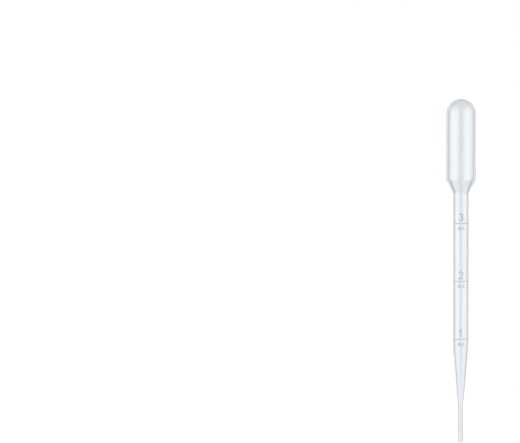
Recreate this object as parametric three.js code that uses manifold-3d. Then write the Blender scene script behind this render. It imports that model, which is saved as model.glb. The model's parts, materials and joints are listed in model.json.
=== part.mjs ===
// A 3 mL graduated dropper pipette, blow moulded in one piece from natural low-density polyethylene.
// Millimetres, +Z up. It lies on its side as it comes to rest on a bench: the bulb points along +Y,
// the open tip along -Y, and the graduation marks look up. It lies on the bulb's shoulder and on the
// lower end of the stem, where it balances, so its axis climbs a little and its tip hovers.
import * as THREE from "three";
import { mergeVertices } from "three/addons/utils/BufferGeometryUtils.js";
import Module from "manifold-3d";

// Lengths along the axis, from the open tip to the crown of the bulb.
const tipLength = 16.8;
const taperLength = 28.2;
const stemLength = 71.1;
const shoulderLength = 6.3;
const bulbLength = 30.6;
const domeHeight = 7.0;

// Widths and walls. The soft tube that it is blown from stretches most at the bulb, so the wall is
// thinnest there, and the tip keeps the thickest wall.
const tipBore = 1.4;
const tipWall = 0.5;
const stemBore = 6.86;
const stemWall = 0.32;
const bulbDiameter = 14.0;
const bulbWall = 0.3;
const crownWall = 0.45;

// Fillets on the outside of the wall.
const tipFillet = 40.0;
const taperFillet = 40.0;
const footFillet = 1.2;
const shoulderFillet = 1.6;

// Graduation marks: raised half-round lines across the front of the stem. One division holds
// divisionVolume, so its height follows from the bore.
const divisionVolume = 1000.0;
const firstMarkRise = 2.9;
const lastMarkMargin = 6.0;
const markWidth = 0.9;
const markHeight = 0.22;
const markHalfAngle = THREE.MathUtils.degToRad(70);

// Faceting. A flat facet faces down, so that the pipette has something to lie on.
const facets = 48;
const facetTurn = Math.PI / facets;
const domeSteps = 12;
const filletSteps = 4;
const markSteps = 6;

const naturalPolyethylene = new THREE.MeshStandardMaterial({
  name: "natural polyethylene",
  color: 0xedf2f5,
  roughness: 0.3,
  metalness: 0,
  transparent: true,
  opacity: 0.45,
});

// Heights of the stations along the axis, and the radii there.
const taperStart = tipLength;
const stemStart = taperStart + taperLength;
const shoulderStart = stemStart + stemLength;
const bulbStart = shoulderStart + shoulderLength;
const domeStart = bulbStart + bulbLength;
const tipRadius = tipBore / 2 + tipWall;
const stemRadius = stemBore / 2 + stemWall;
const bulbRadius = bulbDiameter / 2;

// A corner of a wall's outline: its radius and height, and the radius that it is rounded to.
function corner(radius, height, fillet = 0) {
  return { point: new THREE.Vector2(radius, height), fillet };
}

// The points of the arc that rounds off a corner between its two neighbours. The arc takes at most
// half of the shorter side beside it.
function roundedCorner(before, at, after) {
  const back = before.clone().sub(at.point);
  const ahead = after.clone().sub(at.point);
  const halfAngle = back.angleTo(ahead) / 2;
  const room = Math.min(back.length(), ahead.length()) / 2;
  const reach = Math.min(at.fillet / Math.tan(halfAngle), room);
  const radius = reach * Math.tan(halfAngle);
  const start = at.point.clone().addScaledVector(back.normalize(), reach);
  const end = at.point.clone().addScaledVector(ahead.normalize(), reach);
  const inward = back.clone().add(ahead).normalize();
  const centre = at.point.clone().addScaledVector(inward, radius / Math.sin(halfAngle));
  const from = start.clone().sub(centre).angle();
  let sweep = end.clone().sub(centre).angle() - from;
  sweep = THREE.MathUtils.euclideanModulo(sweep + Math.PI, 2 * Math.PI) - Math.PI;
  return Array.from({ length: filletSteps + 1 }, (_, step) => {
    const angle = from + (sweep * step) / filletSteps;
    const spoke = new THREE.Vector2(Math.cos(angle), Math.sin(angle)).multiplyScalar(radius);
    return spoke.add(centre);
  });
}

// One side of the wall as points from the tip up to the crown on the axis.
function wallOutline(corners, crownRadius, crownRise) {
  const domePoints = Array.from({ length: domeSteps + 1 }, (_, step) => {
    const angle = (Math.PI / 2) * (step / domeSteps);
    const radius = step === domeSteps ? 0 : crownRadius * Math.cos(angle);
    return new THREE.Vector2(radius, domeStart + crownRise * Math.sin(angle));
  });
  const outline = corners.flatMap((at, index) => {
    if (at.fillet === 0) return [at.point];
    const after = index + 1 < corners.length ? corners[index + 1].point : domePoints[0];
    return roundedCorner(corners[index - 1].point, at, after);
  });
  return [...outline, ...domePoints];
}

const outside = wallOutline(
  [
    corner(tipRadius, 0),
    corner(tipRadius, taperStart, tipFillet),
    corner(stemRadius, stemStart, taperFillet),
    corner(stemRadius, shoulderStart, footFillet),
    corner(bulbRadius, bulbStart, shoulderFillet),
  ],
  bulbRadius,
  domeHeight,
);

// The bore follows the outside at the wall's thickness, so its fillets are a wall larger or smaller.
const inside = wallOutline(
  [
    corner(tipBore / 2, 0),
    corner(tipBore / 2, taperStart, tipFillet + tipWall),
    corner(stemBore / 2, stemStart, taperFillet - stemWall),
    corner(stemBore / 2, shoulderStart, footFillet + stemWall),
    corner(bulbRadius - bulbWall, bulbStart, Math.max(shoulderFillet - bulbWall, bulbWall)),
  ],
  bulbRadius - bulbWall,
  domeHeight - crownWall,
);

const wasm = await Module();
wasm.setup();

// A closed geometry as a solid that can be joined and cut.
function solidOf(geometry) {
  const bare = geometry.clone();
  bare.deleteAttribute("normal");
  bare.deleteAttribute("uv");
  const merged = mergeVertices(bare, 1e-4);
  const vertProperties = new Float32Array(merged.attributes.position.array);
  const triVerts = new Uint32Array(merged.index.array);
  return new wasm.Manifold(new wasm.Mesh({ numProp: 3, vertProperties, triVerts }));
}

// A solid as a geometry with flat shading.
function geometryOf(solid) {
  const { vertProperties, triVerts } = solid.getMesh();
  const geometry = new THREE.BufferGeometry();
  geometry.setAttribute("position", new THREE.BufferAttribute(vertProperties, 3));
  geometry.setIndex(new THREE.BufferAttribute(triVerts, 1));
  const flat = geometry.toNonIndexed();
  flat.computeVertexNormals();
  return flat;
}

// The hollow wall: down the bore from the crown, across the cut end of the tip, and up the outside.
function blownWall() {
  const section = [...inside.toReversed(), ...outside];
  return solidOf(new THREE.LatheGeometry(section, facets, facetTurn));
}

// A half-round ring that stands on the stem, with its foot sunk halfway into the wall.
function markRing(height) {
  const foot = stemRadius - stemWall / 2;
  const half = markWidth / 2;
  const crest = Array.from({ length: markSteps + 1 }, (_, step) => {
    const angle = Math.PI * (step / markSteps - 0.5);
    return new THREE.Vector2(stemRadius + markHeight * Math.cos(angle), height + half * Math.sin(angle));
  });
  const lowerFoot = new THREE.Vector2(foot, height - half);
  const upperFoot = new THREE.Vector2(foot, height + half);
  const section = [lowerFoot, ...crest, upperFoot, lowerFoot.clone()];
  return solidOf(new THREE.LatheGeometry(section, facets, facetTurn));
}

// The wedge of space in front of the axis that a mark spans.
function frontWedge() {
  const reach = 2 * (stemRadius + markHeight);
  const length = tipLength + taperLength + stemLength;
  const outline = new THREE.Shape();
  outline.moveTo(0, 0);
  outline.absarc(0, 0, reach, Math.PI / 2 - markHalfAngle, Math.PI / 2 + markHalfAngle);
  outline.closePath();
  const extrusion = { depth: length, bevelEnabled: false, curveSegments: facets };
  const wedge = new THREE.ExtrudeGeometry(outline, extrusion);
  // The wedge is drawn facing up the page, and turned so that it runs along the axis and faces +Z.
  return solidOf(wedge.rotateX(Math.PI / 2).rotateZ(Math.PI));
}

// As many whole divisions as the stem has room for.
const markPitch = divisionVolume / (Math.PI * (stemBore / 2) ** 2);
const markCount = 1 + Math.floor((stemLength - firstMarkRise - lastMarkMargin) / markPitch);
const firstMark = stemStart + firstMarkRise;
const markHeights = Array.from({ length: markCount }, (_, index) => firstMark + index * markPitch);

function pipetteGeometry() {
  const wedge = frontWedge();
  const marks = markHeights.map((height) => markRing(height).intersect(wedge));
  return geometryOf(marks.reduce((body, mark) => body.add(mark), blownWall()));
}

// How far up the axis the wall balances.
function balanceHeight(geometry) {
  const position = geometry.attributes.position;
  const [a, b, c] = [new THREE.Vector3(), new THREE.Vector3(), new THREE.Vector3()];
  let volume = 0;
  let moment = 0;
  for (let index = 0; index < position.count; index += 3) {
    a.fromBufferAttribute(position, index);
    b.fromBufferAttribute(position, index + 1);
    c.fromBufferAttribute(position, index + 2);
    const wedge = a.dot(b.clone().cross(c)) / 6;
    volume += wedge;
    moment += (wedge * (a.y + b.y + c.y)) / 4;
  }
  return moment / volume;
}

// The pipette rests on the two rings of its outside, one on each side of the balance point, whose
// joining line passes furthest out there. Both rest on a flat facet, a little inside the radius.
function restingTilt(balance) {
  let furthest = 0;
  let tilt = 0;
  for (const low of outside.filter((point) => point.y < balance)) {
    for (const high of outside.filter((point) => point.y > balance)) {
      const slope = (high.x - low.x) / (high.y - low.y);
      const reach = low.x + slope * (balance - low.y);
      if (reach > furthest) {
        furthest = reach;
        tilt = Math.atan(slope * Math.cos(facetTurn));
      }
    }
  }
  return tilt;
}

const pipette = new THREE.Mesh(pipetteGeometry(), naturalPolyethylene);
pipette.name = "pipette";
pipette.rotation.x = restingTilt(balanceHeight(pipette.geometry));

// Set down on the bench, with the origin under the middle of its length.
const lying = new THREE.Box3().setFromObject(pipette, true);
pipette.position.set(0, -(lying.min.y + lying.max.y) / 2, -lying.min.z);

const dropper = new THREE.Group();
dropper.add(pipette);

export default dropper;
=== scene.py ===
# %% [markdown]
# # A dropper pipette
# This is a 3 mL transfer pipette: a soft bulb, a graduated stem and a drawn-out tip, all blown from
# one tube of natural low-density polyethylene. The lesson makes it in Blender as one closed skin,
# an outer wall and a bore that meet at the cut tip, and gives that skin the look of thin, slightly
# milky plastic on a white bench. Its sizes are written in millimetres and turned to metres where a
# mesh is made. The bench and the lights are large, so theirs are in metres.

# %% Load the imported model
import json
import math

import bpy
from mathutils import Matrix, Vector

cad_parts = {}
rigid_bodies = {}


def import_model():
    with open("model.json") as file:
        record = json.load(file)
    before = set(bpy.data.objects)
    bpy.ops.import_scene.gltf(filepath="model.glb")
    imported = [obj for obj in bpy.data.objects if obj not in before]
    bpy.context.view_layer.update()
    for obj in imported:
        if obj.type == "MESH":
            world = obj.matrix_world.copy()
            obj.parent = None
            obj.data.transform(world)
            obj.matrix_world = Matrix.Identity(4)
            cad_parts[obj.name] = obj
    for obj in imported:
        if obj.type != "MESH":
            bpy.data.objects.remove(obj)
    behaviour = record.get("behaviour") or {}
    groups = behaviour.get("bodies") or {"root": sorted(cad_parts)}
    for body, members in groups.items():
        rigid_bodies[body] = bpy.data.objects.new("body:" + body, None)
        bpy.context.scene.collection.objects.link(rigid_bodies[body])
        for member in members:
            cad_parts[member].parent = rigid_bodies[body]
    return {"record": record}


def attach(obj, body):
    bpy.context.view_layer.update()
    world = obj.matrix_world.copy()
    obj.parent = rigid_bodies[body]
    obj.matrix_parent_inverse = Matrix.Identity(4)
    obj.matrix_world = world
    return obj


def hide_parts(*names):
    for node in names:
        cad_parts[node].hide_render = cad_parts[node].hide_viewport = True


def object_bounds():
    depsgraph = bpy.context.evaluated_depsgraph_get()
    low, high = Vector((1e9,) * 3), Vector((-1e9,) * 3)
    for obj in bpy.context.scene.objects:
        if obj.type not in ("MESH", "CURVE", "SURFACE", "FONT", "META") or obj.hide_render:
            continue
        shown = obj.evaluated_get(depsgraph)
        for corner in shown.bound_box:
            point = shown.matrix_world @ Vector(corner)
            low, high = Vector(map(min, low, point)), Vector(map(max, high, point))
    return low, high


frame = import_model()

cad_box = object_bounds()
mm = 0.001
scene = bpy.context.scene
print("CAD box in mm:", [[round(v / mm, 3) for v in corner] for corner in cad_box])

# %% [markdown]
# ## The camera
# The pipette can't stand by itself, so it lies on the bench and the camera looks straight down on
# it, with the bulb away from the viewer. A camera with a long lens would have to stand metres away
# to keep the long tube's sides parallel. An orthographic camera keeps them parallel from anywhere,
# so it is used here. The pipette lies to the right in the frame and a little low, and the camera is
# rolled by a tenth of a degree, so the tip lies that much further left than the bulb.

# %% Camera
view_width = 242.5
pipette_right_of_middle = 93.7
pipette_below_middle = 22.8
camera_height = 400.0
camera_roll = math.radians(0.1)

pipette_middle = (Vector(cad_box[0]) + Vector(cad_box[1])) / 2
camera_data = bpy.data.cameras.new("camera")
camera_data.type = "ORTHO"
camera_data.ortho_scale = view_width * mm
camera = bpy.data.objects.new("camera", camera_data)
scene.collection.objects.link(camera)
roll = Matrix.Rotation(camera_roll, 4, "Z")
from_pipette = Vector((-pipette_right_of_middle, pipette_below_middle, camera_height)) * mm
camera.matrix_world = Matrix.Translation(pipette_middle + roll @ from_pipette) @ roll
scene.camera = camera
print("camera at", [round(v / mm, 1) for v in camera.location], "mm")

# %% [markdown]
# ## The section of the wall
# A solid pipette would look like a glass rod, so the wall has to be there, with its real thickness.
# It could be had from a Solidify modifier, but the thickness changes along the way. So half of the
# wall's section is drawn: a line that comes down the bore from the crown of the bulb, crosses the
# cut end of the tip and climbs the outside again. Only its corners are listed, each with the radius
# that it is rounded to. The bore follows the outside at the wall's thickness, which is least in the
# bulb, where the soft tube was stretched most.

# %% Sizes of the pipette
tip_length = 16.8
taper_length = 28.2
stem_length = 71.1
shoulder_length = 6.3
bulb_length = 30.6
dome_height = 7.0
tip_bore = 1.4
tip_wall = 0.5
stem_bore = 6.86
stem_wall = 0.32
bulb_diameter = 14.0
bulb_wall = 0.3
crown_wall = 0.45
cut_edge_fillet = 0.1
tip_fillet = 40.0
taper_fillet = 40.0
foot_fillet = 1.2
shoulder_fillet = 1.6

taper_start = tip_length
stem_start = taper_start + taper_length
shoulder_start = stem_start + stem_length
bulb_start = shoulder_start + shoulder_length
dome_start = bulb_start + bulb_length
stem_radius = stem_bore / 2 + stem_wall
bulb_radius = bulb_diameter / 2
print("length", round(dome_start + dome_height, 2), "mm, stem", 2 * stem_radius, "mm across")

# %% Corners of the section, as radius, height from the tip, and fillet
bore_corners = [
    (bulb_radius - bulb_wall, bulb_start, shoulder_fillet - bulb_wall),
    (stem_bore / 2, shoulder_start, foot_fillet + stem_wall),
    (stem_bore / 2, stem_start, taper_fillet - stem_wall),
    (tip_bore / 2, taper_start, tip_fillet + tip_wall),
    (tip_bore / 2, 0.0, cut_edge_fillet),
]
skin_corners = [
    (tip_bore / 2 + tip_wall, 0.0, cut_edge_fillet),
    (tip_bore / 2 + tip_wall, taper_start, tip_fillet),
    (stem_radius, stem_start, taper_fillet),
    (stem_radius, shoulder_start, foot_fillet),
    (bulb_radius, bulb_start, shoulder_fillet),
]
print(len(bore_corners) + len(skin_corners), "corners")


# %% Round a corner
arc_spacing = 0.4
fewest_arc_steps = 6
dome_steps = 26


def rounded(before, corner, after):
    """The arc that rounds off a corner between its neighbours, as evenly spaced points."""
    point = Vector(corner[:2])
    fillet = corner[2]
    back = Vector(before[:2]) - point
    ahead = Vector(after[:2]) - point
    half_angle = back.angle(ahead) / 2
    reach = min(fillet / math.tan(half_angle), back.length / 2, ahead.length / 2)
    radius = reach * math.tan(half_angle)
    inward = (back.normalized() + ahead.normalized()).normalized()
    centre = point + inward * (radius / math.sin(half_angle))
    first = point + back.normalized() * reach - centre
    last = point + ahead.normalized() * reach - centre
    turn = math.atan2(first.x * last.y - first.y * last.x, first.dot(last))
    steps = max(fewest_arc_steps, math.ceil(abs(turn) * radius / arc_spacing))
    angles = [math.atan2(first.y, first.x) + turn * step / steps for step in range(steps + 1)]
    return [centre + Vector((math.cos(a), math.sin(a))) * radius for a in angles]


def dome(foot_radius, rise):
    """The quarter of an ellipse from the foot of the bulb's dome up to its crown, as points."""
    angles = [math.pi / 2 * step / dome_steps for step in range(dome_steps)]
    quarter = [Vector((foot_radius * math.cos(a), dome_start + rise * math.sin(a))) for a in angles]
    return quarter + [Vector((0.0, dome_start + rise))]


square_corner = rounded((0.0, 4.0), (0.0, 0.0, 1.0), (4.0, 0.0))
print("a square corner rounded to 1 mm has", len(square_corner), "points")

# %% The smooth section
bore_dome = dome(bulb_radius - bulb_wall, dome_height - crown_wall)
skin_dome = dome(bulb_radius, dome_height)
stops = [bore_dome[0], *bore_corners, *skin_corners, skin_dome[0]]
bends = [rounded(*stops[index - 1 : index + 2]) for index in range(1, len(stops) - 1)]
bore = bore_dome[::-1] + [point for turn in bends[: len(bore_corners)] for point in turn]
skin = [point for turn in bends[len(bore_corners) :] for point in turn] + skin_dome
print(len(bore), "points down the bore and", len(skin), "up the outside")

# %% [markdown]
# ## Marks and lettering
# The mould has a line cut into it at each millilitre, with a numeral above and the unit below, so
# they stand on the stem as one low, rounded relief. One division of the bore holds one millilitre,
# which gives the lines' pitch. A text object would give characters with hard walls, which soft
# plastic that was blown into a groove never has. The engraver cuts a numeral as a single stroke
# with a round cutter, so each character here is a bare line too, and the relief is raised from the
# distance to it.

# %% Sizes of the marks
division_volume = 1000.0
mark_pitch = division_volume / (math.pi * (stem_bore / 2) ** 2)
first_mark_rise = 2.9
first_mark = stem_start + first_mark_rise
mark_count = 3
mark_width = 0.9
mark_height = 0.22
mark_half_angle = math.radians(70)
numeral_rise = 1.3
numeral_height = 3.2
numeral_stroke = 0.64
unit_drop = 2.85
unit_height = 1.42
unit_slant = math.tan(math.radians(18))
unit_stroke = 0.42
lettering_height = 0.2
seam_width = 0.3
seam_height = 0.04
mark_places = [first_mark + number * mark_pitch for number in range(mark_count)]
print("marks at", [round(place, 2) for place in mark_places], "mm from the tip")


# %% Curved strokes
stroke_turn = 12
fewest_stroke_steps = 4


def arc(centre, radius, start, end):
    """Points on an arc from one angle to another, in degrees, about a stroke_turn apart."""
    steps = max(fewest_stroke_steps, round(abs(end - start) / stroke_turn))
    angles = [math.radians(start + (end - start) * step / steps) for step in range(steps + 1)]
    return [(centre[0] + radius * math.cos(a), centre[1] + radius * math.sin(a)) for a in angles]


print("a half circle has", len(arc((0.0, 0.0), 1.0, 0, 180)), "points")

# %% Strokes of the numerals, in millimetres from the middle of their foot
top = numeral_height
waist_share = 0.525
waist = waist_share * top
upper = (top - waist) / 2
lower = waist / 2
bow_radius = 0.9
numerals = {
    "numeral_1": [[(-0.5, top - 0.62), (0.12, top), (0.12, 0.0)]],
    "numeral_2": [
        arc((0.0, top - bow_radius), bow_radius, 165, -42) + [(-0.92, 0.0), (0.95, 0.0)],
    ],
    "numeral_3": [
        arc((0.0, top - upper), upper, 155, -90),
        arc((0.0, lower), lower, 90, -155),
    ],
}
print(len(numerals), "numerals")

# %% Strokes of the unit, slanted
bend = 0.24
x_height_share = 0.72
x_height = x_height_share * unit_height
capital_left = 2.15
capital_right = 2.95
unit_left = -1.35
upright_unit = [
    [(0.0, 0.0), (0.0, x_height)],
    arc((bend, x_height - bend), bend, 180, 0) + [(2 * bend, 0.0)],
    arc((3 * bend, x_height - bend), bend, 180, 0) + [(4 * bend, 0.0)],
    [(capital_left, unit_height), (capital_left, 0.0), (capital_right, 0.0)],
]
unit = [[(unit_left + x + unit_slant * y, y) for x, y in stroke] for stroke in upright_unit]
print("a unit of", len(unit), "strokes")


# %% Strokes as loose edges, drawn flat
def stroke_object(name, strokes, rise, collection):
    """A mesh of edges only. Its X runs round the stem and its Y along it, with 0 on the mark."""
    points = [Vector((x, y + rise, 0.0)) * mm for stroke in strokes for x, y in stroke]
    edges = []
    first = 0
    for stroke in strokes:
        edges += [(first + step, first + step + 1) for step in range(len(stroke) - 1)]
        first += len(stroke)
    mesh = bpy.data.meshes.new(name)
    mesh.from_pydata(points, edges, [])
    drawn = bpy.data.objects.new(name, mesh)
    collection.objects.link(drawn)
    return drawn


numeral_collection = bpy.data.collections.new("numerals")
tool_collection = bpy.data.collections.new("drawing tools")
for name, strokes in numerals.items():
    stroke_object(name, strokes, numeral_rise, numeral_collection)
unit_object = stroke_object("unit_mL", unit, -unit_drop, tool_collection)

# %% [markdown]
# ## Rows and columns of the skin
# The skin is a grid that is bent into a tube. Its rows are the points of the section, and its
# columns are angles round the axis. Both stand close together only where the relief needs them: at
# the marks, and at the mould's parting line on each side. Elsewhere a few long faces are enough,
# because the surface is straight that way. Subdividing all of it as finely would look no different
# and take many times the triangles.

# %% Rows: the section, with close rows at the marks
row_spacing = 0.1
row_margin = 0.6
lettered = (-unit_drop - row_margin, numeral_rise + numeral_height + row_margin)


def radius_at(height):
    """The radius of the outside at a height."""
    for low, high in zip(skin, skin[1:]):
        if low.y <= height <= high.y and high.y > low.y:
            return low.x + (high.x - low.x) * (height - low.y) / (high.y - low.y)
    raise ValueError(f"no skin at {height} mm")


close_rows = round((lettered[1] - lettered[0]) / row_spacing)
steps = [(lettered[1] - lettered[0]) * step / close_rows for step in range(close_rows + 1)]
heights = [place + lettered[0] + step for place in mark_places for step in steps]
extra = [Vector((radius_at(height), height)) for height in heights]
dense_skin = [
    point
    for point in skin
    if not any(lettered[0] < point.y - place < lettered[1] for place in mark_places)
]
dense_skin = sorted(dense_skin[:-1] + extra, key=lambda point: point.y) + dense_skin[-1:]
print(len(bore), "rows in the bore,", len(dense_skin), "outside")

# %% The way out of the plastic at each row
section = bore + dense_skin


def outward(index):
    """The direction out of the plastic at a row, across the section's run."""
    if index in (0, len(section) - 1):
        return Vector((0.0, 1.0 if index else -1.0))
    run = (section[index + 1] - section[index - 1]).normalized()
    return Vector((run.y, -run.x))


print("out of the plastic halfway along the rows:", tuple(outward(len(section) // 2)))

# %% How hazy the plastic is at heights up the axis
# It is haziest in the tip, which is drawn the most and keeps the thickest wall, then in the bent
# shoulder, and it is clearest at the crown. Each stop is a height and the haze there.
# The haze scales the slant curve of the finish, so it also sets how strong the painted edge shade is
# at each height.
clearing_length = 4.0
foot_blend = 0.4
bulb_blend = 0.5
haze_stops = [
    (0.0, 4.5),
    (taper_start, 4.0),
    (taper_start + clearing_length, 1.8),
    (stem_start, 1.3),
    (shoulder_start - foot_blend, 1.3),
    (shoulder_start + foot_blend, 2.2),
    (bulb_start - bulb_blend, 2.2),
    (bulb_start + bulb_blend, 1.0),
    (dome_start, 1.0),
    (dome_start + dome_height, 0.0),
]


def haze_at(height):
    """The haze at a height, between its stops."""
    for (low, low_haze), (high, high_haze) in zip(haze_stops, haze_stops[1:]):
        if height <= high:
            return low_haze + (high_haze - low_haze) * (height - low) / (high - low)
    return haze_stops[-1][1]


print("haze halfway up the stem:", haze_at((stem_start + shoulder_start) / 2))

# %% Each row as a point with its direction, side and haze
row_values = {
    "outward": ("FLOAT_VECTOR", "vector", [(*outward(row), 0.0) for row in range(len(section))]),
    "outer": ("FLOAT", "value", [float(row >= len(bore)) for row in range(len(section))]),
    "haze": ("FLOAT", "value", [haze_at(point.y) for point in section]),
}
rows_mesh = bpy.data.meshes.new("section")
rows_mesh.from_pydata([(point.x * mm, point.y * mm, 0.0) for point in section], [], [])
for name, (kind, field, values) in row_values.items():
    attribute = rows_mesh.attributes.new(name, kind, "POINT")
    for item, value in zip(attribute.data, values):
        setattr(item, field, value)
section_object = bpy.data.objects.new("section", rows_mesh)
scene.collection.objects.link(section_object)
print(len(section), "rows with", len(row_values), "values each")

# %% Columns: angles from the front, close at the lettering and at the parting line
# Each zone is its first and last angle in degrees, and how many columns it has.
column_zones = [(0, 46, 40), (46, 66, 7), (66, 74, 5), (74, 84, 3), (84, 96, 12), (96, 180, 21)]
half_turn = [
    low + (high - low) * step / count for low, high, count in column_zones for step in range(count)
]
angles = [-180.0] + [-angle for angle in half_turn[:0:-1]] + half_turn + [180.0]
columns_mesh = bpy.data.meshes.new("columns")
columns_mesh.from_pydata([(math.radians(angle), 0.0, 0.0) for angle in angles], [], [])
columns_object = bpy.data.objects.new("columns", columns_mesh)
tool_collection.objects.link(columns_object)
print(len(angles), "columns,", 2 * len(angles) * len(section), "triangles")

# %% [markdown]
# ## The blown skin as a Geometry Nodes tree
# The whole pipette follows one rule, so one tree makes it. A flat grid takes its rows from the
# section and its columns from the angles. The distance from each point to the nearest stroke, mark
# or parting line says how far it stands out, and then the grid is bent round the axis and sewn up.
# Sculpting or a boolean would give the same letters, but not a mark that moves when its pitch does.


# %% A helper that adds one node
def add_node(tree, kind, inputs=(), **settings):
    """Adds a node with its settings, sets or links its inputs, and gives its outputs.

    The inputs come in the node's own order, or as a dictionary by name or number.
    """
    made = tree.nodes.new(kind)
    for name, value in settings.items():
        setattr(made, name, value)
    named_inputs = inputs if isinstance(inputs, dict) else dict(enumerate(inputs))
    for name, value in named_inputs.items():
        if isinstance(value, bpy.types.NodeSocket):
            tree.links.new(value, made.inputs[name])
        else:
            made.inputs[name].default_value = value
    return made.outputs


print("nodes are added by", add_node.__name__)

# %% The tree and its named inputs
tree = bpy.data.node_groups.new("blown skin", "GeometryNodeTree")
sockets = [
    ("Section", "NodeSocketGeometry"),
    ("Columns", "NodeSocketObject"),
    ("Numerals", "NodeSocketCollection"),
    ("Unit", "NodeSocketObject"),
    ("Stem Radius", "NodeSocketFloat"),
    ("First Mark", "NodeSocketFloat"),
    ("Mark Pitch", "NodeSocketFloat"),
    ("Mark Count", "NodeSocketInt"),
    ("Mark Width", "NodeSocketFloat"),
    ("Mark Height", "NodeSocketFloat"),
    ("Mark Half Angle", "NodeSocketFloat"),
    ("Lettering Height", "NodeSocketFloat"),
    ("Numeral Stroke", "NodeSocketFloat"),
    ("Unit Stroke", "NodeSocketFloat"),
    ("Seam Width", "NodeSocketFloat"),
    ("Seam Height", "NodeSocketFloat"),
    ("Material", "NodeSocketMaterial"),
]
identifiers = {}
for name, kind in sockets:
    socket = tree.interface.new_socket(name, in_out="INPUT", socket_type=kind)
    identifiers[name] = socket.identifier
tree.interface.new_socket("Skin", in_out="OUTPUT", socket_type="NodeSocketGeometry")
given = add_node(tree, "NodeGroupInput")
print(len(sockets), "inputs")


# %% The grid, and each of its points' row and column
columns = add_node(tree, "GeometryNodeObjectInfo", {"Object": given["Columns"]})["Geometry"]
column_count = add_node(tree, "GeometryNodeAttributeDomainSize", {"Geometry": columns})[0]
section_inputs = {"Geometry": given["Section"]}
row_count = add_node(tree, "GeometryNodeAttributeDomainSize", section_inputs)[0]
grid_inputs = {"Vertices X": column_count, "Vertices Y": row_count}
grid = add_node(tree, "GeometryNodeMeshGrid", grid_inputs)["Mesh"]
number = add_node(tree, "GeometryNodeInputIndex")[0]
split = (number, row_count)
column = add_node(tree, "FunctionNodeIntegerMath", split, operation="DIVIDE_FLOOR")[0]
row = add_node(tree, "FunctionNodeIntegerMath", split, operation="FLOORED_MODULO")[0]
print(len(tree.nodes), "nodes so far")

# %% What the section and the columns say at each of the grid's points
position = add_node(tree, "GeometryNodeInputPosition")[0]
position_x = add_node(tree, "ShaderNodeSeparateXYZ", [position])[0]
said = {"place": ("FLOAT_VECTOR", position), "angle": ("FLOAT", position_x)}
for name, (kind, _, _) in row_values.items():
    attribute = add_node(tree, "GeometryNodeInputNamedAttribute", {"Name": name}, data_type=kind)
    said[name] = (kind, attribute[0])
at = {}
for name, (kind, value) in said.items():
    source, index = (columns, column) if name == "angle" else (given["Section"], row)
    inputs = {"Geometry": source, "Value": value, "Index": index}
    at[name] = add_node(tree, "GeometryNodeSampleIndex", inputs, data_type=kind)[0]
radius, height, _ = add_node(tree, "ShaderNodeSeparateXYZ", [at["place"]])
print("each point knows its", ", ".join(at))

# %% The lettering: numerals picked by number, and the unit, one of each at every mark
lowest = add_node(tree, "ShaderNodeCombineXYZ", {"Y": given["First Mark"]})[0]
pitch = add_node(tree, "ShaderNodeCombineXYZ", {"Y": given["Mark Pitch"]})[0]
line_inputs = {"Count": given["Mark Count"], "Start Location": lowest, "Offset": pitch}
places = add_node(tree, "GeometryNodeMeshLine", line_inputs, mode="OFFSET")[0]
collection_inputs = {
    "Collection": given["Numerals"],
    "Separate Children": True,
    "Reset Children": True,
}
numeral_set = add_node(tree, "GeometryNodeCollectionInfo", collection_inputs)[0]
unit_drawing = add_node(tree, "GeometryNodeObjectInfo", {"Object": given["Unit"]})["Geometry"]
turn_and_radius = (at["angle"], given["Stem Radius"])
around = add_node(tree, "ShaderNodeMath", turn_and_radius, operation="MULTIPLY")[0]
flat_place = add_node(tree, "ShaderNodeCombineXYZ", {"X": around, "Y": height})[0]
smooth_step = {"interpolation_type": "SMOOTHSTEP"}


def stroke_relief(drawing, stroke_width, pick):
    """The relief of strokes set out at every mark, from the distance to the nearest one."""
    copy_inputs = {"Points": places, "Instance": drawing, "Pick Instance": pick}
    copies = add_node(tree, "GeometryNodeInstanceOnPoints", copy_inputs)[0]
    strokes = add_node(tree, "GeometryNodeRealizeInstances", {"Geometry": copies})[0]
    near = {"Geometry": strokes, "Sample Position": flat_place}
    distance = add_node(tree, "GeometryNodeProximity", near, target_element="EDGES")["Distance"]
    reach = add_node(tree, "ShaderNodeMath", (stroke_width, 2.0), operation="DIVIDE")[0]
    fall = {"Value": distance, "From Min": reach, "From Max": 0.0}
    return add_node(tree, "ShaderNodeMapRange", fall, **smooth_step)[0]


both_reliefs = (
    stroke_relief(numeral_set, given["Numeral Stroke"], True),
    stroke_relief(unit_drawing, given["Unit Stroke"], False),
)
lettering = add_node(tree, "ShaderNodeMath", both_reliefs, operation="MAXIMUM")[0]
print(len(tree.nodes), "nodes so far")

# %% The marks: the distance along the stem to the nearest one, and their ends round it
on_axis = add_node(tree, "ShaderNodeCombineXYZ", {"Y": height})[0]
near_mark = {"Geometry": places, "Sample Position": on_axis}
from_mark = add_node(tree, "GeometryNodeProximity", near_mark, target_element="POINTS")["Distance"]
mark_reach = add_node(tree, "ShaderNodeMath", (given["Mark Width"], 2.0), operation="DIVIDE")[0]
across_inputs = {"Value": from_mark, "From Min": mark_reach, "From Max": 0.0}
across_mark = add_node(tree, "ShaderNodeMapRange", across_inputs, **smooth_step)[0]
mark_end = math.radians(3)
end_range = (given["Mark Half Angle"], mark_end)
past_end = add_node(tree, "ShaderNodeMath", end_range, operation="ADD")[0]
before_end = add_node(tree, "ShaderNodeMath", end_range, operation="SUBTRACT")[0]
turned = add_node(tree, "ShaderNodeMath", [at["angle"]], operation="ABSOLUTE")[0]
end_inputs = {"Value": turned, "From Min": past_end, "From Max": before_end}
ends = add_node(tree, "ShaderNodeMapRange", end_inputs, **smooth_step)[0]
marks = add_node(tree, "ShaderNodeMath", (across_mark, ends), operation="MULTIPLY")[0]
print(len(tree.nodes), "nodes so far")

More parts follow.
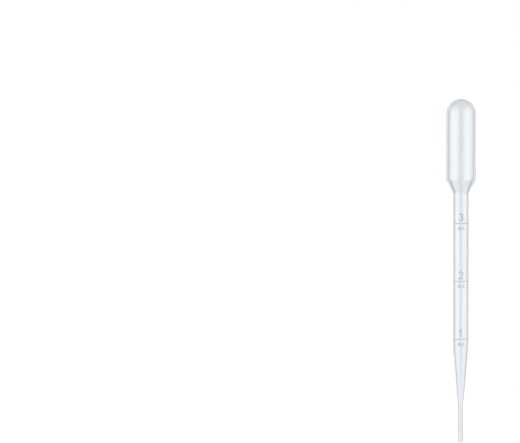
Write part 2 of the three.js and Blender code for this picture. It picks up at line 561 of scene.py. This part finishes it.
# %% The parting line, a quarter turn from the front on both sides
from_side = add_node(tree, "ShaderNodeMath", (turned, math.pi / 2), operation="SUBTRACT")[0]
past_seam = add_node(tree, "ShaderNodeMath", (from_side, radius), operation="MULTIPLY")[0]
from_seam = add_node(tree, "ShaderNodeMath", [past_seam], operation="ABSOLUTE")[0]
seam_reach = add_node(tree, "ShaderNodeMath", (given["Seam Width"], 2.0), operation="DIVIDE")[0]
seam_inputs = {
    "Value": from_seam,
    "From Min": seam_reach,
    "From Max": 0.0,
    "To Max": given["Seam Height"],
}
seam = add_node(tree, "ShaderNodeMapRange", seam_inputs, **smooth_step)[0]
print(len(tree.nodes), "nodes so far")

# %% The relief on the outside: the highest of the marks, the lettering and the parting line
mark_shape = (marks, given["Mark Height"])
mark_rise = add_node(tree, "ShaderNodeMath", mark_shape, operation="MULTIPLY")[0]
letter_shape = (lettering, given["Lettering Height"])
letter_rise = add_node(tree, "ShaderNodeMath", letter_shape, operation="MULTIPLY")[0]
raised = add_node(tree, "ShaderNodeMath", (mark_rise, letter_rise), operation="MAXIMUM")[0]
highest = add_node(tree, "ShaderNodeMath", (raised, seam), operation="MAXIMUM")[0]
relief = add_node(tree, "ShaderNodeMath", (at["outer"], highest), operation="MULTIPLY")[0]
print(len(tree.nodes), "nodes so far")

# %% Push the relief out of the plastic, and bend the grid round the axis
# Each point is first set in front of the axis, then turned round it by its column's angle.
push = (at["outward"], relief, at["place"])
pushed = add_node(tree, "ShaderNodeVectorMath", push, operation="MULTIPLY_ADD")[0]
far, along, _ = add_node(tree, "ShaderNodeSeparateXYZ", [pushed])
in_front = add_node(tree, "ShaderNodeCombineXYZ", {"Y": along, "Z": far})[0]
turn_inputs = {"Vector": in_front, "Angle": at["angle"]}
bent = add_node(tree, "ShaderNodeVectorRotate", turn_inputs, rotation_type="Y_AXIS")[0]
bend_inputs = {"Geometry": grid, "Position": bent}
skin_geometry = add_node(tree, "GeometryNodeSetPosition", bend_inputs)[0]
print(len(tree.nodes), "nodes so far")

# %% [markdown]
# ## Natural low-density polyethylene
# The plastic has no pigment. It is clear enough to see through and faintly milky, because its fine
# crystals scatter light, and it reads as a cool grey-white. A blow mould for it is blasted, so that
# the air can get out, and that leaves the outside softly matt. The bore touches only air and stays
# glossy, and the die leaves faint lines along both. So the surface is glass-like with
# polyethylene's index, and its roughness differs outside and inside.
#
# A share of the surface is milk, a mix of diffuse and translucent. Real depth of haze would need a
# scattering volume, which is slow and noisy in so thin a wall. A curve of the wall's slant stands
# in for it: almost none where the view goes straight through, and more towards the edge, where the
# view runs longer through the plastic. Only a little of that growth is the haze of the longer path.
# The sharp peak just inside the edge, with less again in the rim, is painted shade for the dark line
# that refraction in the wall draws there. The marks and letters get a darker milk, painted shade for
# the dark lines at their edges.


# %% Colours as they are written, turned to linear light
def linear(code):
    """An sRGB hex colour as linear red, green, blue and alpha."""
    shares = [int(code[start : start + 2], 16) / 255 for start in (1, 3, 5)]
    return [s / 12.92 if s <= 0.04045 else ((s + 0.055) / 1.055) ** 2.4 for s in shares] + [1.0]


print("white is", linear("#ffffff"))

# %% The polyethylene's surface: die lines, and the grain of the blasting
skin_roughness = 0.275
skin_roughness_spread = 0.1
bore_roughness = 0.05
ripple_strength = 0.05
ripple_depth = 0.02
# Real die lines are about 0.1 mm across, and these are 0.4 mm, so that they show.
die_line_width = 0.4
die_line_length = 60.0
# The grain of the blasting is too fine to draw, so it is roughness here, a little uneven in soft
# clouds.
cloud_size = 6.0

plastic = bpy.data.materials.new("natural low-density polyethylene, blow moulded")
plastic.use_nodes = True
nodes = plastic.node_tree
nodes.nodes.clear()
where = add_node(nodes, "ShaderNodeTexCoord")["Object"]
across_lines = 1 / (die_line_width * mm)
die_scale = (across_lines, 1 / (die_line_length * mm), across_lines)
die_place = add_node(nodes, "ShaderNodeMapping", {"Vector": where, "Scale": die_scale})[0]
die_inputs = {"Vector": die_place, "Scale": 1.0, "Detail": 2.0}
die_lines = add_node(nodes, "ShaderNodeTexNoise", die_inputs)[0]
cloud_inputs = {"Vector": where, "Scale": 1 / (cloud_size * mm), "Detail": 1.0}
clouds = add_node(nodes, "ShaderNodeTexNoise", cloud_inputs)[0]
ripple_inputs = {"Strength": ripple_strength, "Distance": ripple_depth * mm, "Height": die_lines}
ripples = add_node(nodes, "ShaderNodeBump", ripple_inputs)[0]
roughest = skin_roughness * (1 + skin_roughness_spread)
matt_inputs = {"Value": clouds, "To Min": skin_roughness, "To Max": roughest}
matt = add_node(nodes, "ShaderNodeMapRange", matt_inputs)[0]
outside = add_node(nodes, "ShaderNodeAttribute", attribute_name="outside")["Fac"]
roughness_inputs = {"Value": outside, "To Min": bore_roughness, "To Max": matt}
roughness = add_node(nodes, "ShaderNodeMapRange", roughness_inputs)[0]
print("roughness", skin_roughness, "outside and", bore_roughness, "in the bore")

# %% The clear part of the polyethylene
clear_tint = "#eff2f4"
polyethylene_ior = 1.51
clear_inputs = {
    "Base Color": linear(clear_tint),
    "Roughness": roughness,
    "IOR": polyethylene_ior,
    "Transmission Weight": 1.0,
    "Normal": ripples,
}
clear = add_node(nodes, "ShaderNodeBsdfPrincipled", clear_inputs)[0]
print("refractive index", polyethylene_ior)

# %% The milk, half of it seen in light that comes through, and darker on the relief as painted shade
milk_tint = "#c7c4c6"
# The relief's darker milk is painted shade, standing in for the dark lines that the edges of the
# marks and letters bend into the view.
relief_shade_tint = "#868d95"
light_through = 0.5
relief_shade_share = add_node(nodes, "ShaderNodeAttribute", attribute_name="relief")["Fac"]
tint_inputs = {0: relief_shade_share, 6: linear(milk_tint), 7: linear(relief_shade_tint)}
milk_colour = add_node(nodes, "ShaderNodeMix", tint_inputs, data_type="RGBA")[2]
milk_diffuse = add_node(nodes, "ShaderNodeBsdfDiffuse", {"Color": milk_colour})[0]
milk_through = add_node(nodes, "ShaderNodeBsdfTranslucent", {"Color": milk_colour})[0]
milk_parts = (light_through, milk_diffuse, milk_through)
milk = add_node(nodes, "ShaderNodeMixShader", milk_parts)[0]
print(len(nodes.nodes), "nodes so far")

# %% The share of milk and painted edge shade at each slant of the wall, from square on (0) to edge on (1)
# The peak at 0.45 draws a dark line just inside each edge. It is painted shade, not haze.
milk_and_edge_shade_curve = [
    (0.0, 0.0),
    (0.1, 0.01),
    (0.2, 0.04),
    (0.3, 0.12),
    (0.37, 0.3),
    (0.45, 0.68),
    (0.52, 0.1),
    (0.62, 0.03),
    (0.8, 0.08),
    (1.0, 0.4),
]
# On the relief the darker milk covers most of the surface, as painted shade.
relief_shade_milk = 0.85
facing = add_node(nodes, "ShaderNodeLayerWeight", {"Blend": 0.5})["Facing"]
slant = add_node(nodes, "ShaderNodeFloatCurve", {"Value": facing})[0]
mapping = slant.node.mapping
curve = mapping.curves[0]
curve.points[0].location = milk_and_edge_shade_curve[0]
curve.points[1].location = milk_and_edge_shade_curve[-1]
for slant_and_share in milk_and_edge_shade_curve[1:-1]:
    curve.points.new(*slant_and_share)
mapping.update()
haze_share = add_node(nodes, "ShaderNodeAttribute", attribute_name="haze")["Fac"]
hazy_milk_and_edge_shade = add_node(nodes, "ShaderNodeMath", (slant, haze_share), operation="MULTIPLY")[0]
share_inputs = (relief_shade_share, relief_shade_milk, hazy_milk_and_edge_shade)
milk_sum = {"operation": "MULTIPLY_ADD", "use_clamp": True}
milk_and_shade_share = add_node(nodes, "ShaderNodeMath", share_inputs, **milk_sum)[0]
body_shader = add_node(nodes, "ShaderNodeMixShader", (milk_and_shade_share, clear, milk))[0]
print("most milk, before haze:", max(share for _, share in milk_and_edge_shade_curve))

# %% Light through the polyethylene: the lamps' light, and what the plastic absorbs
shadow_tint = "#fafafb"
absorbed_tint = "#e6e6e7"
absorption = 60.0  # For each metre of plastic.
# Lamps shine through the wall, so that the bench behind it stays bright.
shadow_ray = add_node(nodes, "ShaderNodeLightPath")["Is Shadow Ray"]
let_through = add_node(nodes, "ShaderNodeBsdfTransparent", {"Color": linear(shadow_tint)})[0]
surface = add_node(nodes, "ShaderNodeMixShader", (shadow_ray, body_shader, let_through))[0]
volume_inputs = {"Color": linear(absorbed_tint), "Density": absorption}
volume = add_node(nodes, "ShaderNodeVolumeAbsorption", volume_inputs)[0]
add_node(nodes, "ShaderNodeOutputMaterial", {"Surface": surface, "Volume": volume})
print(plastic.name, "has", len(nodes.nodes), "nodes")

# %% What the finish needs to know: where the relief gets painted shade, how hazy and on which side the plastic is
# The relief is painted darker, as painted shade for the dark lines that the edges of the marks and
# letters bend into the view. A mark is a broad, soft ridge, so only its crest gets the painted shade,
# and less than a numeral's sharp stroke. The shade fades towards the mark's ends, where the ridge
# stands in the bright edge of the stem.
mark_shade_strength = 0.75
fade_from = 0.4
fade_to = 0.8
half_angle = given["Mark Half Angle"]
fade_start = add_node(tree, "ShaderNodeMath", (half_angle, fade_from), operation="MULTIPLY")[0]
fade_end = add_node(tree, "ShaderNodeMath", (half_angle, fade_to), operation="MULTIPLY")[0]
fade_inputs = {"Value": turned, "From Min": fade_end, "From Max": fade_start, "To Max": mark_shade_strength}
fade = add_node(tree, "ShaderNodeMapRange", fade_inputs, **smooth_step)[0]
crest = add_node(tree, "ShaderNodeMath", (marks, marks), operation="MULTIPLY")[0]
front = add_node(tree, "ShaderNodeMath", (crest, fade), operation="MULTIPLY")[0]
shown = add_node(tree, "ShaderNodeMath", (front, lettering), operation="MAXIMUM")[0]
relief_painted_shade = add_node(tree, "ShaderNodeMath", (at["outer"], shown), operation="MULTIPLY")[0]
kept = skin_geometry
finish_values = {"relief": relief_painted_shade, "haze": at["haze"], "outside": at["outer"]}
for name, value in finish_values.items():
    store = {"Geometry": kept, "Name": name, "Value": value}
    kept = add_node(tree, "GeometryNodeStoreNamedAttribute", store, data_type="FLOAT")[0]
print(len(tree.nodes), "nodes so far")

# %% Sew the skin up and finish the tree
sewing_distance = 0.001
sewn_inputs = {"Geometry": kept, "Distance": sewing_distance * mm}
sewn = add_node(tree, "GeometryNodeMergeByDistance", sewn_inputs)[0]
smooth = add_node(tree, "GeometryNodeSetShadeSmooth", {"Geometry": sewn})[0]
real = add_node(tree, "GeometryNodeRealizeInstances", {"Geometry": smooth})[0]
finish_inputs = {"Geometry": real, "Material": given["Material"]}
finished = add_node(tree, "GeometryNodeSetMaterial", finish_inputs)[0]
add_node(tree, "NodeGroupOutput", [finished])
print(len(tree.nodes), "nodes in the tree")

# %% Give the tree its sizes, then keep its result as a plain mesh
sizes = {
    "Columns": columns_object,
    "Numerals": numeral_collection,
    "Unit": unit_object,
    "Stem Radius": stem_radius * mm,
    "First Mark": first_mark * mm,
    "Mark Pitch": mark_pitch * mm,
    "Mark Count": mark_count,
    "Mark Width": mark_width * mm,
    "Mark Height": mark_height * mm,
    "Mark Half Angle": mark_half_angle,
    "Lettering Height": lettering_height * mm,
    "Numeral Stroke": numeral_stroke * mm,
    "Unit Stroke": unit_stroke * mm,
    "Seam Width": seam_width * mm,
    "Seam Height": seam_height * mm,
    "Material": plastic,
}
modifier = section_object.modifiers.new("blown skin", "NODES")
modifier.node_group = tree
for name, value in sizes.items():
    modifier[identifiers[name]] = value
bpy.context.view_layer.update()
depsgraph = bpy.context.evaluated_depsgraph_get()
evaluated = section_object.evaluated_get(depsgraph)
skin_mesh = bpy.data.meshes.new_from_object(evaluated, depsgraph=depsgraph)
section_object.modifiers.remove(modifier)
skin_mesh.name = "blown pipette"
print(len(skin_mesh.vertices), "points,", len(skin_mesh.polygons), "faces")

# %% [markdown]
# ## At rest on the bench
# A pipette that is put down comes to rest on two rings of its wall, the lower end of the bulb and
# the lower end of the stem, so its axis climbs a little and its tip hovers. The skin was made along
# the Y axis, so the whole mesh is turned and moved once. The angle could be typed in, but the
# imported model's mount at the tip already says where the tip is and which way the axis runs, so both
# models lie alike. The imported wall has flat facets, and the round skin is drawn in to the circle
# that fits inside them.

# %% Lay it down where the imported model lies
mount = next(m for m in frame["record"]["mounts"] if m["name"] == "tip_end")
axis = -Vector(mount["axis"])
# The mount is on the cut ring, beside the bore, so its X is left out.
tip = Vector((0.0, mount["pos_m"][1], mount["pos_m"][2]))
tilt = math.atan2(axis.z, axis.y)
snug = cad_box[1][0] / (bulb_radius * mm)
draw_in = Matrix.Diagonal((snug, 1.0, snug, 1.0))
lay_down = Matrix.Translation(tip) @ Matrix.Rotation(tilt, 4, "X") @ draw_in
skin_mesh.transform(lay_down)
pipette = bpy.data.objects.new("blown_pipette", skin_mesh)
scene.collection.objects.link(pipette)
for drawing in [section_object, columns_object, unit_object, *numeral_collection.objects]:
    bpy.data.objects.remove(drawing)
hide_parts("pipette")
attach(pipette, "root")
print("laid down at", round(math.degrees(tilt), 3), "degrees")

# %% [markdown]
# ## The bench
# The bench is a plain white board, wide enough to fill every view. It takes its light from the soft
# boxes, so the pipette's faint shadow shows on it, and a little glow for the eye and for
# reflections brings the open board up to white. Seen through the plastic it is plain white, which
# spares the wall the grain of light that is sampled behind two layers of glass.

# %% Bench
bench_size = 3.0
board_tint = "#e7e7e7"
board_glow = 0.25
bench_mesh = bpy.data.meshes.new("bench")
half = bench_size / 2
bench_corners = [(-half, -half, 0.0), (half, -half, 0.0), (half, half, 0.0), (-half, half, 0.0)]
bench_mesh.from_pydata(bench_corners, [], [(0, 1, 2, 3)])
bench = bpy.data.objects.new("bench", bench_mesh)
scene.collection.objects.link(bench)
board = bpy.data.materials.new("white melamine board")
board.use_nodes = True
paint = board.node_tree
paint.nodes.clear()
ray = add_node(paint, "ShaderNodeLightPath")
seen = (ray["Is Camera Ray"], ray["Is Glossy Ray"])
eye = add_node(paint, "ShaderNodeMath", seen, operation="MAXIMUM")[0]
strength = add_node(paint, "ShaderNodeMath", (eye, board_glow), operation="MULTIPLY")[0]
white = linear("#ffffff")
glow = add_node(paint, "ShaderNodeEmission", {"Color": white, "Strength": strength})[0]
lit = add_node(paint, "ShaderNodeBsdfDiffuse", {"Color": linear(board_tint)})[0]
lit_board = add_node(paint, "ShaderNodeAddShader", (lit, glow))[0]
plain = add_node(paint, "ShaderNodeEmission", {"Color": white, "Strength": 1.0})[0]
through = (ray["Is Transmission Ray"], lit_board, plain)
board_shader = add_node(paint, "ShaderNodeMixShader", through)[0]
add_node(paint, "ShaderNodeOutputMaterial", {"Surface": board_shader})
bench_mesh.materials.append(board)
print("bench", bench_size, "m square")

# %% [markdown]
# ## The light
# Clear plastic shows what is round it, so the lights matter more than its colour. Small lamps would
# draw thin glints and hard shadows, and light from everywhere would leave the form flat. So a long
# soft box on each side reaches from the bench almost to overhead. The dark gap that they leave
# above draws the grey band down the middle of every part, and their long reflections draw the
# bright bands beside it. The right one reaches a little further over, which moves the grey band off
# centre. A lamp of this kind is sized here by the angle that it fills, seen from the pipette.


# %% Soft boxes
def soft_box(name, side, low, high, distance, near_end, far_end, radiance):
    """An area light that fills the angles from low to high, seen from the pipette."""
    middle_angle = math.radians((low + high) / 2)
    width = 2 * distance * math.tan(math.radians(high - low) / 2)
    lamp = bpy.data.lights.new(name, "AREA")
    lamp.shape = "RECTANGLE"
    lamp.size = width
    lamp.size_y = far_end - near_end
    lamp.energy = radiance * math.pi * lamp.size * lamp.size_y
    stand = bpy.data.objects.new(name, lamp)
    scene.collection.objects.link(stand)
    across = side * distance * math.cos(middle_angle)
    up = distance * math.sin(middle_angle)
    spot = Vector((across, (near_end + far_end) / 2, up))
    aim = Matrix.Rotation(side * (math.pi / 2 - middle_angle), 4, "Y")
    stand.matrix_world = Matrix.Translation(spot) @ aim
    print(name, [round(v, 3) for v in spot], "m,", round(lamp.energy, 2), "W")


left_low = 1.0
left_high = 65.0
right_low = 1.0
right_high = 72.0
box_distance = 0.7
box_near = -0.85
box_far = 0.8
box_radiance = 1.66
soft_box("left soft box", -1, left_low, left_high, box_distance, box_near, box_far, box_radiance)
soft_box("right soft box", 1, right_low, right_high, box_distance, box_near, box_far, box_radiance)

# %% [markdown]
# ## The room
# The room is what the plastic mirrors. It is as bright as the bench at the horizon and almost dark
# overhead, and its dark ceiling fills the gap between the soft boxes. A room with a picture round
# it would add windows and corners that a plain studio doesn't have. Past the bench, the camera sees
# the room plain white, straight or through the plastic, so that every view has the same background.

# %% A room that darkens overhead
world = bpy.data.worlds.new("dim room")
scene.world = world
world.use_nodes = True
room = world.node_tree
room.nodes.clear()
horizon_level = 1.0
ceiling_level = 0.02
ceiling_rise = 0.5
way = add_node(room, "ShaderNodeTexCoord")["Generated"]
rise = add_node(room, "ShaderNodeSeparateXYZ", [way])[2]
wall_inputs = {
    "Value": rise,
    "From Max": ceiling_rise,
    "To Min": horizon_level,
    "To Max": ceiling_level,
}
wall = add_node(room, "ShaderNodeMapRange", wall_inputs)[0]
path = add_node(room, "ShaderNodeLightPath")
looks = (path["Is Camera Ray"], path["Is Transmission Ray"])
straight = add_node(room, "ShaderNodeMath", looks, operation="MAXIMUM")[0]
level = add_node(room, "ShaderNodeMath", (straight, wall), operation="MAXIMUM")[0]
background = add_node(room, "ShaderNodeBackground", {"Color": white, "Strength": level})[0]
add_node(room, "ShaderNodeOutputWorld", {"Surface": background})
# Standard shows white as white. The other view transforms would turn the bench grey.
scene.view_settings.view_transform = "Standard"
print("room from", horizon_level, "at the horizon to", ceiling_level, "overhead")
